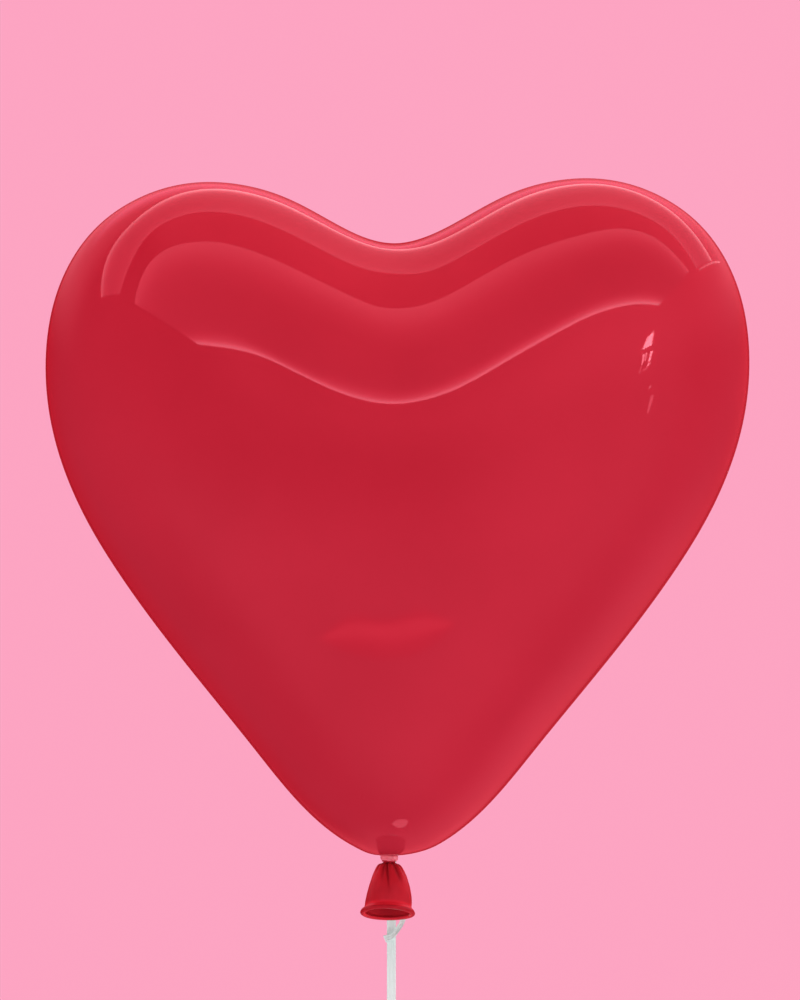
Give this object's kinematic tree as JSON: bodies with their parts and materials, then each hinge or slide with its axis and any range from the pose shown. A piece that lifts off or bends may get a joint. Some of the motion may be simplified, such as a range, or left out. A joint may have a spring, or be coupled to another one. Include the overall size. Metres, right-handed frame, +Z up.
{
  "type": "heart balloon on a ribbon",
  "caption": "Heart-shaped latex party balloon, blown up and tied at the neck with white ribbon that hangs behind its open rolled mouth",
  "frame": {"origin": "centre of the tied neck, inside the ribbon's winding, where the ribbon holds the balloon", "axes": "+X to the viewer's right across the lobes, +Y away from the viewer through the balloon's depth, +Z up from the tie to the cleft"},
  "size_m": [0.3899, 0.2138, 0.4988],
  "materials": {
    "red_latex": "gloss",
    "white_ribbon": "satin"
  },
  "bodies": {
    "balloon": {"heart_skin": "red_latex", "neck_winding": "white_ribbon"},
    "tail": {"tail_skirt": "red_latex", "rolled_rim": "red_latex"},
    "knot": {"neck_knot": "white_ribbon"},
    "ribbon": {"ribbon_run": "white_ribbon", "ribbon_short_end": "white_ribbon", "end_knot": "white_ribbon", "hand_loop": "white_ribbon"}
  },
  "joints": [
    {"name": "tail_bend", "type": "hinge", "parent": "balloon", "child": "tail", "pos_m": [0, 0, -0.00165], "axis": [1, 0, 0], "range_deg": [-12, 0], "stiffness_Nm_per_rad": 0.002},
    {"name": "ribbon_sway", "type": "hinge", "parent": "balloon", "child": "knot", "pos_m": [0.0012, 0.00637, 0], "axis": [0, 1, 0], "range_deg": [-30, 30]},
    {"name": "ribbon_swing", "type": "hinge", "parent": "knot", "child": "ribbon", "pos_m": [0.0012, 0.00804, 0.001], "axis": [1, 0, 0], "range_deg": [0, 35]}
  ]
}
